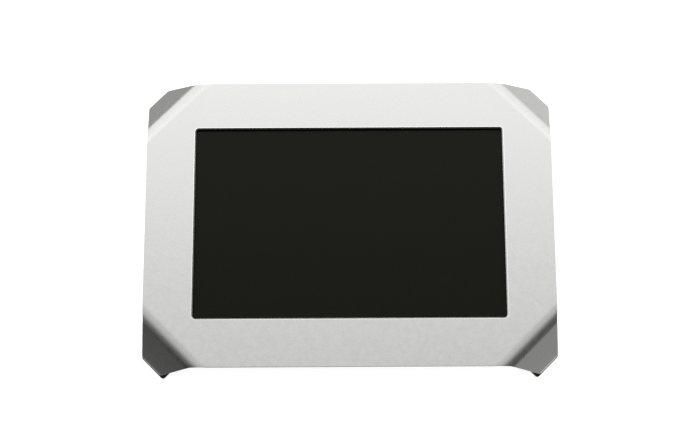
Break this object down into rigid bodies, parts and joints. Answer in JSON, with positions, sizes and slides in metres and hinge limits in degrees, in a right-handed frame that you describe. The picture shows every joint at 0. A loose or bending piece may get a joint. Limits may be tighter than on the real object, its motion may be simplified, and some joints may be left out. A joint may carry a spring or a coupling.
{
  "type": "hmi touch panel",
  "caption": "Operator touch panel: a silver sheet front with a wide screen and folded corners on rubber feet, over a slim black rear housing with ports.",
  "frame": {"origin": "middle of the footprint, on the surface that the four rubber feet rest on", "axes": "+X along the long side of the screen, to the right; +Y to the top edge of the picture; +Z out of the screen"},
  "size_m": [0.2946, 0.2122, 0.032],
  "materials": {
    "panel_aluminium": "bead-blasted, clear anodised sheet",
    "housing_coat": "fine-texture powder coat",
    "foot_rubber": "moulded, matt",
    "foam": "closed-cell foam tape",
    "screen_glass": "strengthened touch glass over a dark display",
    "display_cell": "polarised display glass",
    "pressed_steel": "thin pressed sheet",
    "white_plastic": "moulded light guide",
    "zinc_steel": "bright zinc plate",
    "stainless": "stainless, lightly turned",
    "brass": "turned brass",
    "nickel_steel": "nickel-plated shell",
    "cast_aluminium": "plain aluminium",
    "button_aluminium": "turned, satin",
    "circuit_board": "green solder mask",
    "chip_plastic": "moulded epoxy",
    "black_plastic": "moulded plastic",
    "card_plastic": "moulded plastic",
    "green_plastic": "moulded plastic",
    "flat_cable": "white flat cable"
  },
  "bodies": {
    "panel": {"backlight": "white_plastic", "board_screw_1": "stainless", "board_screw_2": "stainless", "board_screw_3": "stainless", "board_screw_4": "stainless", "board_spacer_1": "brass", "board_spacer_2": "brass", "board_spacer_3": "brass", "board_spacer_4": "brass", "button_switch": "black_plastic", "buzzer": "black_plastic", "capacitor_1": "cast_aluminium", "capacitor_2": "cast_aluminium", "card_slot": "nickel_steel", "cell_holder": "black_plastic", "coin_cell": "stainless", "display_cable": "flat_cable", "display_cell": "display_cell", "display_frame": "pressed_steel", "display_strap_left": "zinc_steel", "display_strap_right": "zinc_steel", "earth_screw": "brass", "ethernet_jack_1": "nickel_steel", "ethernet_jack_2": "nickel_steel", "foot_screw_1": "stainless", "foot_screw_2": "stainless", "foot_screw_3": "stainless", "foot_screw_4": "stainless", "front_plate": "panel_aluminium", "glass_gasket": "foam", "heat_sink": "cast_aluminium", "housing_nut_1": "zinc_steel", "housing_nut_2": "zinc_steel", "housing_nut_3": "zinc_steel", "housing_nut_4": "zinc_steel", "housing_nut_5": "zinc_steel", "housing_nut_6": "zinc_steel", "inductor": "chip_plastic", "main_board": "circuit_board", "mount_insert_1": "stainless", "mount_insert_2": "stainless", "mount_insert_3": "stainless", "mount_insert_4": "stainless", "power_header": "green_plastic", "processor": "chip_plastic", "rear_housing": "housing_coat", "rubber_foot_1": "foot_rubber", "rubber_foot_2": "foot_rubber", "rubber_foot_3": "foot_rubber", "rubber_foot_4": "foot_rubber", "serial_port": "nickel_steel", "strap_nut_1": "zinc_steel", "strap_nut_2": "zinc_steel", "strap_nut_3": "zinc_steel", "strap_nut_4": "zinc_steel", "touch_glass": "screen_glass", "usb_port_1": "nickel_steel", "usb_port_2": "nickel_steel"},
    "power_button": {"power_button": "button_aluminium"},
    "memory_card": {"memory_card": "card_plastic"}
  },
  "joints": [
    {"name": "power_button_press", "type": "slide", "parent": "panel", "child": "power_button", "axis": [-1, 0, 0], "range_m": [0, 0.0008], "stiffness_N_per_m": 2500, "springref_m": -0.0004},
    {"name": "memory_card_pull", "type": "slide", "parent": "panel", "child": "memory_card", "axis": [1, 0, 0], "range_m": [0, 0.024]}
  ]
}
